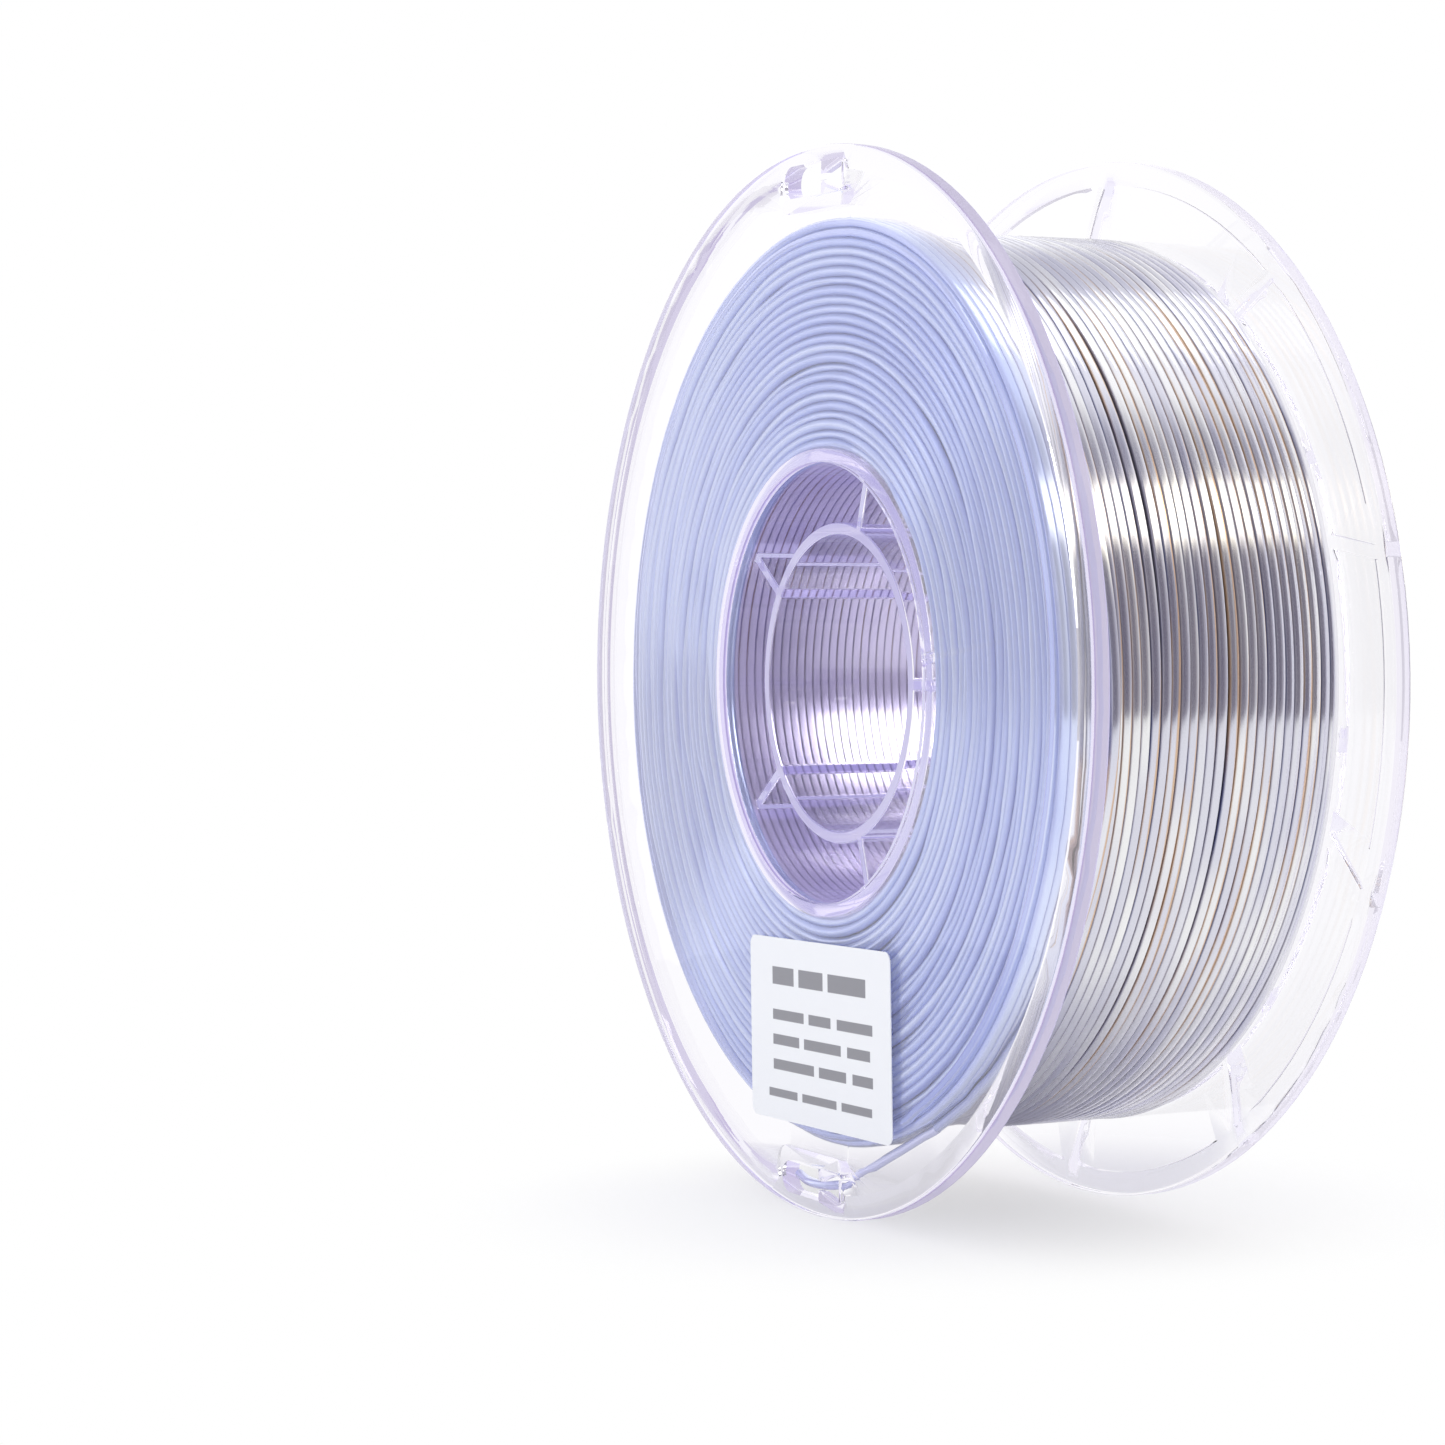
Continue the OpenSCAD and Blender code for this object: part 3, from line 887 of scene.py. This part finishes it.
def layer_tree():
    """One layer of turns as a helix that wanders a little along the axis. Its last turns go
    back over it, and its end crosses them."""
    tree, graph, given = new_geometry_tree(
        "layer of turns",
        [
            "Turns",
            "Last turns",
            "Layer step",
            "Cross by",
            "Coil radius",
            "First turn at",
            "Pitch",
            "First angle",
            "Parting",
            "Fuller by",
        ],
    )
    at = even_helix(graph, given)
    across, up = graph.maths("SINE", at.angle), graph.maths("COSINE", at.angle)

    def nearness(centre):
        """1 at an angle round the axis and 0 a quarter turn from it."""
        return graph.maths("COSINE", at.angle - radians(centre))

    share = 1 - at.left / CROSS_TURNS
    crossing = graph.ramp(share, CROSS_FROM, CROSS_TO) * given["Cross by"]
    held = given["Wander"] * graph.ramp(at.left, 0.0, HELD_TURNS)
    mood = graph.noise(graph.vector(across, up, at.turn * 0.45), 1.3, w=given["Seed"])
    y = at.y - crossing + (mood - 0.5) * held
    for parting in PARTINGS:
        near = graph.maths("MAXIMUM", nearness(parting.angle), 0.0)
        near = graph.maths("POWER", near, parting.fade)
        side = graph.maths("TANH", (at.y - parting.y * MM) / (PARTING_EDGE * MM))
        y = y + side * near * given["Parting"] * (parting.width / 2)
    height = graph.noise(graph.vector(across, up, at.turn * 1.7), 1.8, w=given["Seed"] + 7.3)
    fuller = graph.ramp(nearness(FULLEST_AT), 0.0, 1.0) * given["Fuller by"]
    fuller = fuller * graph.ramp(at.turn, given["Turns"] * 0.5, 0.0)
    lifted = graph.ramp(share, 0.0, 0.5) * graph.ramp(given["Last turns"], 0.0, 1.0)
    stacked = given["Layer step"] * (at.climbed + lifted)
    reach = given["Coil radius"] + fuller + stacked + (height - 0.5) * held * 0.35
    count = (given["Turns"] + given["Last turns"]) * given["Rings per turn"] + 1.0
    line = graph.wire("GeometryNodeMeshLine", {"mode": "OFFSET"}, {"Count": count})
    position = graph.vector(reach * across, y, reach * up)
    placed = graph.wire(
        "GeometryNodeSetPosition", None, {"Geometry": line, "Position": position}
    )
    marked = graph.store(placed, "turn", at.turn)
    faced = graph.store(marked, "radial", graph.vector(across, 0.0, up), "FLOAT_VECTOR")
    finish_tube(graph, graph.wire("GeometryNodeMeshToCurve", None, {"Mesh": faced}), given)
    return tree


def side_tree():
    """The last turn of every layer, as rings beside a flange."""
    tree, graph, given = new_geometry_tree(
        "turns beside a flange",
        ["First radius", "Layer height", "Flange side", "Inwards"],
        ["Layers"],
    )
    line = graph.wire("GeometryNodeMeshLine", {"mode": "OFFSET"}, {"Count": given["Layers"]})
    circle = {"Resolution": given["Rings per turn"], "Radius": 1.0}
    loop = graph.wire("GeometryNodeCurvePrimitiveCircle", None, circle)
    many = graph.wire("GeometryNodeInstanceOnPoints", None, {"Points": line, "Instance": loop})
    index = graph.wire("GeometryNodeInputIndex")
    marked = graph.store(many, "turn", index, domain="INSTANCE")
    loops = graph.wire("GeometryNodeRealizeInstances", None, {"Geometry": marked})
    layer = graph.attribute("turn")
    loop_x, loop_y, _ = graph.split(graph.wire("GeometryNodeInputPosition"))
    length = graph.maths("SQRT", loop_x * loop_x + loop_y * loop_y)
    across, up = loop_x / length, loop_y / length
    mood = graph.noise(graph.vector(across, up, layer * 3.1), 1.1, w=given["Seed"])
    depth = graph.ramp(mood, 0.45, 0.7) * given["Wander"]
    height = graph.noise(graph.vector(across, up, layer * 0.37), 1.4, w=given["Seed"] + 4.1)
    uneven = (height - 0.5) * given["Wander"] * 0.5
    reach = given["First radius"] + given["Layer height"] * layer + uneven
    y = given["Flange side"] + given["Inwards"] * depth
    faced = graph.store(loops, "radial", graph.vector(across, 0.0, up), "FLOAT_VECTOR")
    position = graph.vector(across * reach, y, up * reach)
    placed = graph.wire(
        "GeometryNodeSetPosition", None, {"Geometry": faced, "Position": position}
    )
    finish_tube(graph, placed, given)
    return tree


def grow(tree, values):
    """The plain mesh that a geometry tree makes from named values."""
    seed = bpy.data.objects.new("seed", bpy.data.meshes.new("seed"))
    bpy.context.scene.collection.objects.link(seed)
    modifier = seed.modifiers.new("grow", "NODES")
    modifier.node_group = tree
    for item in tree.interface.items_tree:
        if item.in_out == "INPUT":
            modifier[item.identifier] = values[item.name]
    shown = seed.evaluated_get(bpy.context.evaluated_depsgraph_get())
    mesh = bpy.data.meshes.new_from_object(shown)
    seed.modifiers.remove(modifier)
    bpy.data.objects.remove(seed)
    return mesh


OUTER_TURNS = 30
LAST_TURNS = 5
LAYERS = 23
FIRST_LAYER_R = DRUM_R + FILAMENT_ROOM + FILAMENT_R
RING_STEPS = 144
SHOWN_DEPTH = 1.3 * FILAMENT_D


def add_winding():
    pitch = 2 * TURN_Y / OUTER_TURNS
    before = -TURN_Y + pitch * (LAST_TURNS - TURN_BACK)
    # How far the smooth crossing has come where the filament lifts off
    crossed = (1 - CROSS_FROM) / (CROSS_TO - CROSS_FROM)
    crossed = crossed * crossed * (3 - 2 * crossed)
    outer = {
        "Turns": float(OUTER_TURNS),
        "Last turns": float(LAST_TURNS),
        "Layer step": LAYER_STEP * MM,
        "Cross by": (before - LIFT_DEPTH + INNER_Y) / crossed * MM,
        "Rings per turn": RING_STEPS,
        "Coil radius": (WINDING_R - PRESSED_R) * MM,
        "First turn at": TURN_Y * MM,
        "Pitch": pitch * MM,
        "First angle": radians(LIFT_ANGLE),
        "Wander": 0.5 * MM,
        "Parting": MM,
        "Fuller by": 0.9 * MM,
        "Filament radius": PRESSED_R * MM,
        "Sides": 12,
        "Seed": 1.0,
        "Finish": SILK,
    }
    on_drum = outer | {
        "Last turns": 0.0,
        "Cross by": 0.0,
        "Coil radius": (DRUM_R + PRESSED_R + PRESSED_ROOM) * MM,
        "Rings per turn": 96,
        "Sides": 8,
        "Parting": 0.0,
        "Fuller by": 0.0,
        "Wander": 0.1 * MM,
    }
    layer = layer_tree()
    add_piece("outer_turns", grow(layer, outer), SILK, "filament", "filament_turns")
    add_piece("turns_on_the_drum", grow(layer, on_drum), SILK, "filament")
    beside = side_tree()
    for name, side, seed in (("front_side_turns", -1, 2.0), ("rear_side_turns", 1, 5.0)):
        values = {
            "Layers": LAYERS,
            "Rings per turn": RING_STEPS,
            "First radius": FIRST_LAYER_R * MM,
            "Layer height": (OUTER_TURN_R - FIRST_LAYER_R) / (LAYERS - 1) * MM,
            "Flange side": side * (INNER_Y - PRESSED_R - PRESSED_ROOM) * MM,
            "Inwards": -float(side),
            "Wander": 0.9 * MM,
            "Filament radius": PRESSED_R * MM,
            "Sides": 10,
            "Seed": seed,
            "Finish": SILK,
        }
        add_piece(name, grow(beside, values), SILK, "filament")
    add_piece("inner_layers", inner_layers_mesh(), SHADED_SILK, "filament", "filament_core")


def inner_layers_mesh():
    """A plain ring for the body of the winding behind the turns that show."""
    low, high = DRUM_R + FILAMENT_D, WINDING_R - SHOWN_DEPTH
    side = INNER_Y - FILAMENT_D
    profile = [(low, -side), (high, -side), (high, side), (low, side)]
    shape = bmesh.new()
    rings = []
    for step in range(RING_STEPS):
        angle = 360 * step / RING_STEPS
        rings.append([shape.verts.new(on_circle(radius, angle, y)) for radius, y in profile])
    for ring, following in zip(rings, rings[1:] + rings[:1]):
        for i in range(len(profile)):
            j = (i + 1) % len(profile)
            shape.faces.new((ring[i], ring[j], following[j], following[i]))
    bmesh.ops.recalc_face_normals(shape, faces=shape.faces)
    mesh = finish_mesh(shape, "ring")
    smooth(mesh)
    return mesh


# ---------------------------------------------------------------------------
# The free end of the filament
# ---------------------------------------------------------------------------

# Its route as the part's source has it, in millimetres: x, distance behind the front
# flange's inner face, z
TAIL_ROUTE = [
    (29.8, 3.4, -82.9),
    (23.1, 2.5, -85.9),
    (16.4, 1.7, -89),
    (11.5, 1.1, -91.2),
    (8.6, 0.8, -92.4),
    (6.9, 0.1, -93.1),
    (5.3, -0.8, -93.6),
    (3.5, -1.6, -93.9),
    (1, -2.1, -94.1),
    (-2.5, -2.3, -94.2),
    (-6, -2, -94.1),
    (-9, -1.5, -93.8),
    (-11, -1.2, -93.5),
]
TAIL_STEPS = 4


def rounded_path(points, steps):
    """Points on a smooth curve through a route's points."""
    ends = [points[0] * 2 - points[1], *points, points[-1] * 2 - points[-2]]
    path = []
    for i in range(1, len(ends) - 2):
        before, start, end, after = ends[i - 1 : i + 3]
        for step in range(steps):
            t = step / steps
            bend = (before * -1 + start * 3 - end * 3 + after) * t**3
            bow = (before * 2 - start * 5 + end * 4 - after) * t**2
            path.append((start * 2 + (end - before) * t + bow + bend) / 2)
    path.append(points[-1])
    return path


def add_free_end():
    lift = on_circle(OUTER_TURN_R + 2 * LAYER_STEP, LIFT_ANGLE, LIFT_DEPTH - INNER_Y)
    leaving = Vector((cos(radians(LIFT_ANGLE)), -LIFT_SLOPE, -sin(radians(LIFT_ANGLE))))
    leaving = leaving.normalized() * FILAMENT_D * MM
    route = [Vector((x, depth - INNER_Y, z)) * MM for x, depth, z in TAIL_ROUTE]
    path = rounded_path([lift, lift + leaving, lift + leaving * 2, *route], TAIL_STEPS)
    curve = bpy.data.curves.new("free end", "CURVE")
    curve.dimensions = "3D"
    spline = curve.splines.new("POLY")
    spline.points.add(len(path) - 1)
    for point, place in zip(spline.points, path):
        point.co = (*place, 1)
    curve.bevel_depth = FILAMENT_R * MM
    curve.bevel_resolution = 3
    curve.use_fill_caps = True
    piece = add_piece("free_end", curve, SILK, "filament", "filament_tail")
    length = sum((b - a).length for a, b in zip(path, path[1:]))


# ---------------------------------------------------------------------------
# The hub: drum, bore tube and webs as the one clear moulding that they are
# ---------------------------------------------------------------------------

CELL_STEPS = 24
SEAT_ROOM = 0.03
HUB_EDGE_ROUND = 0.35
ROUNDED_FROM_ANGLE = 35
CELLS, WEBS = (False,), (True,)
EVERYWHERE = CELLS + WEBS


class Station(NamedTuple):
    """A step round the hub: its angles at the tube and at the drum's wall, and whether a web
    lies between it and the next step."""

    tube_angle: float
    drum_angle: float
    at_web: bool


def hub_stations():
    """Steps round the hub, cell by cell."""
    stations = []
    span = 360 / WEB_COUNT
    tube_half = degrees(atan2(WEB_T / 2, TUBE_R))
    drum_half = degrees(atan2(WEB_T / 2, DRUM_INNER_R))
    for web in range(WEB_COUNT):
        centre = WEB_ANGLE + web * span
        for step in range(CELL_STEPS + 1):
            share = step / CELL_STEPS
            at_tube = centre + tube_half + share * (span - 2 * tube_half)
            at_drum = centre + drum_half + share * (span - 2 * drum_half)
            stations.append(Station(at_tube, at_drum, step == CELL_STEPS))
    return stations


def hub_mesh():
    shape = bmesh.new()
    stations = hub_stations()
    tube_angles = [station.tube_angle for station in stations]
    drum_angles = [station.drum_angle for station in stations]
    drum_y = DRUM_END_Y - SEAT_ROOM
    tube_ends = (-TUBE_Y, TUBE_Y)
    drum_levels = (-drum_y, -TUBE_Y, TUBE_Y, drum_y)

    def rings(radius, angles, levels):
        return [[shape.verts.new(on_circle(radius, a, y)) for a in angles] for y in levels]

    def band(first, second, where):
        """Faces between two rings, over the cells, at the webs or everywhere."""
        for i, station in enumerate(stations):
            if station.at_web in where:
                j = (i + 1) % len(stations)
                shape.faces.new((first[i], first[j], second[j], second[i]))

    bore = rings(BORE_R, tube_angles, tube_ends)
    tube = rings(TUBE_R, tube_angles, tube_ends)
    wall = rings(DRUM_INNER_R, drum_angles, drum_levels)
    drum = rings(DRUM_R - SEAT_ROOM, drum_angles, drum_levels)
    band(bore[0], bore[1], EVERYWHERE)
    band(tube[0], tube[1], CELLS)
    band(wall[1], wall[2], CELLS)
    band(drum[1], drum[2], EVERYWHERE)
    for end in (0, 1):
        band(bore[end], tube[end], EVERYWHERE)
        band(tube[end], wall[1 + end], WEBS)
        band(wall[2 * end], wall[2 * end + 1], EVERYWHERE)
        band(drum[2 * end], drum[2 * end + 1], EVERYWHERE)
        band(wall[3 * end], drum[3 * end], EVERYWHERE)
    for i, station in enumerate(stations):
        if station.at_web:
            for k in (i, (i + 1) % len(stations)):
                shape.faces.new((tube[0][k], tube[1][k], wall[2][k], wall[1][k]))
    bmesh.ops.recalc_face_normals(shape, faces=shape.faces)
    return finish_mesh(shape, "hub")


def add_hub():
    webs = [f"hub_web_{i + 1}" for i in range(WEB_COUNT)]
    mesh = hub_mesh()
    smooth(mesh)
    nodes = ("hub_drum", "bore_tube", *webs)
    hub = add_piece("hub_moulding", mesh, HUB_CLEAR, "clear_plastic", *nodes)
    rounding = hub.modifiers.new("rounded edges", "BEVEL")
    rounding.width = HUB_EDGE_ROUND * MM
    rounding.segments = 2
    rounding.limit_method = "ANGLE"
    rounding.angle_limit = radians(ROUNDED_FROM_ANGLE)
    rounding.harden_normals = True


add_free_end()
add_winding()
add_hub()
add_clear_copy("front_flange_moulding", "front_flange", FRONT_CLEAR)
add_clear_copy("rear_flange_moulding", "rear_flange", REAR_CLEAR)
for material_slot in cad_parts["label"].material_slots:
    material_slot.material = LABEL_PAPER
